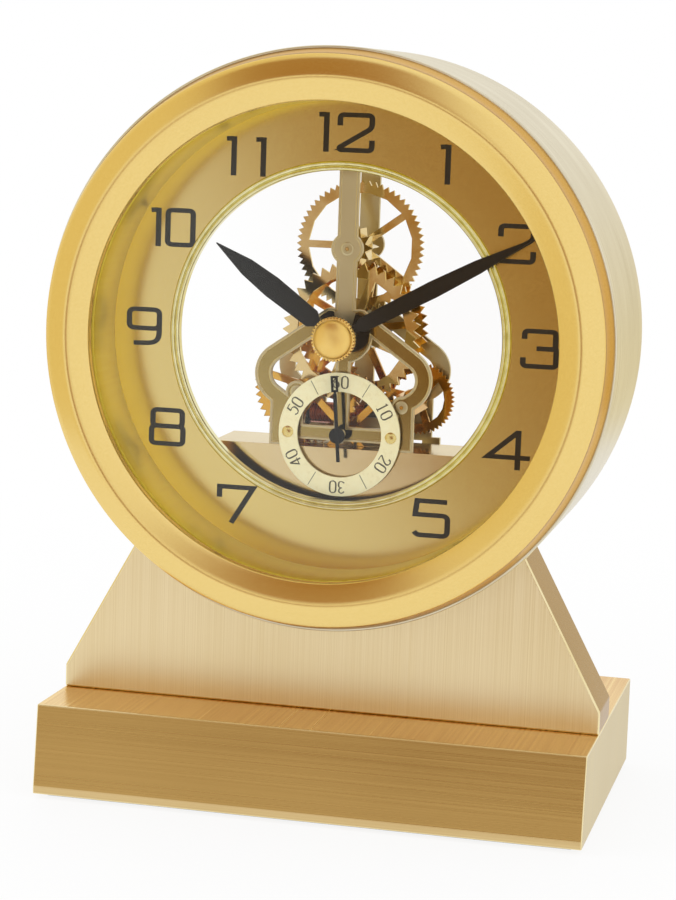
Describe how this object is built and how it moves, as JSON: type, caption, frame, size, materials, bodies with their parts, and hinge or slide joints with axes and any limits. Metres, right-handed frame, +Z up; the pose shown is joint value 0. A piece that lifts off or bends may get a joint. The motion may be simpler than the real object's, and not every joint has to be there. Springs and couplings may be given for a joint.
{
  "type": "skeleton mantel clock",
  "caption": "Round gold skeleton mantel clock on a plinth, with an open dial, lance hands, seconds ring and a visible geared quartz movement that turns the hands.",
  "frame": {"origin": "on the surface the clock stands on, under the middle of the plinth", "axes": "+X to the right, +Y from the dial to the back, +Z up"},
  "size_m": [0.1544, 0.0944, 0.2055],
  "materials": {
    "gold_plate": "brushed and gold anodised",
    "champagne_metal": "brushed champagne",
    "dial_metal": "brushed satin",
    "movement_brass": "satin with polished edges",
    "wheel_brass": "polished pale brass",
    "arbor_steel": "bright",
    "motor_iron": "dull",
    "copper_wire": "lacquered copper wire",
    "contact_metal": "nickel plated",
    "clear_glass": "clear and polished",
    "cream_enamel": "glossy cream",
    "black_paint": "matt black",
    "battery_skin": "satin",
    "dark_plastic": "fine texture",
    "felt": "flat black felt"
  },
  "bodies": {
    "clock": {"plinth": "gold_plate", "felt_pad": "felt", "stand_plate": "gold_plate", "case_band": "champagne_metal", "bezel": "gold_plate", "front_glass": "clear_glass", "dial_ring": "dial_metal", "front_plate": "movement_brass", "rear_plate": "movement_brass", "dial_standoff": "movement_brass", "top_pillar": "movement_brass", "rear_spacers": "movement_brass", "lower_housing": "gold_plate", "battery": "battery_skin", "contact_negative": "contact_metal", "contact_positive": "contact_metal", "stator": "motor_iron", "coil_bobbin": "dark_plastic", "coil": "copper_wire", "seconds_cock": "movement_brass", "seconds_ring": "cream_enamel", "seconds_ring_posts": "movement_brass"},
    "minute": {"minute_arbor": "arbor_steel", "minute_hand": "black_paint", "hand_nut": "gold_plate", "setting_knob": "dark_plastic", "clutch_spring": "arbor_steel"},
    "hour": {"hour_wheel": "wheel_brass", "hour_hand": "black_paint"},
    "motion": {"minute_wheel": "wheel_brass"},
    "seconds": {"seconds_arbor": "wheel_brass", "seconds_hand": "black_paint"},
    "step": {"step_wheel": "wheel_brass"},
    "rotor": {"rotor": "motor_iron"},
    "third": {"third_wheel": "wheel_brass"},
    "centre": {"centre_wheel": "wheel_brass"},
    "battery_door": {"battery_door": "dark_plastic"}
  },
  "joints": [
    {"name": "minute_spin", "type": "hinge", "parent": "clock", "child": "minute", "pos_m": [0, 0, 0.1283], "axis": [0, 1, 0], "continuous": true},
    {"name": "hour_spin", "type": "hinge", "parent": "clock", "child": "hour", "pos_m": [0, 0, 0.1283], "axis": [0, 1, 0], "continuous": true},
    {"name": "motion_spin", "type": "hinge", "parent": "clock", "child": "motion", "pos_m": [0, 0, 0.1517], "axis": [0, 1, 0], "continuous": true},
    {"name": "seconds_spin", "type": "hinge", "parent": "clock", "child": "seconds", "pos_m": [0, 0, 0.1013], "axis": [0, 1, 0], "continuous": true},
    {"name": "step_spin", "type": "hinge", "parent": "clock", "child": "step", "pos_m": [0.0166, 0, 0.1095], "axis": [0, 1, 0], "continuous": true},
    {"name": "rotor_spin", "type": "hinge", "parent": "clock", "child": "rotor", "pos_m": [0.0092, 0, 0.10062], "axis": [0, 1, 0], "continuous": true},
    {"name": "third_spin", "type": "hinge", "parent": "clock", "child": "third", "pos_m": [-0.0128, 0, 0.1121], "axis": [0, 1, 0], "continuous": true},
    {"name": "centre_spin", "type": "hinge", "parent": "clock", "child": "centre", "pos_m": [0, 0, 0.1283], "axis": [0, 1, 0], "continuous": true},
    {"name": "battery_door_slide", "type": "slide", "parent": "clock", "child": "battery_door", "axis": [1, 0, 0], "range_m": [0, 0.005]}
  ],
  "couplings": [
    {"joint": "motion_spin", "follows": "minute_spin", "ratio": -0.33333},
    {"joint": "hour_spin", "follows": "minute_spin", "ratio": 0.083333},
    {"joint": "step_spin", "follows": "seconds_spin", "ratio": -5},
    {"joint": "rotor_spin", "follows": "seconds_spin", "ratio": 30},
    {"joint": "third_spin", "follows": "seconds_spin", "ratio": -0.13333},
    {"joint": "centre_spin", "follows": "seconds_spin", "ratio": 0.016667}
  ]
}
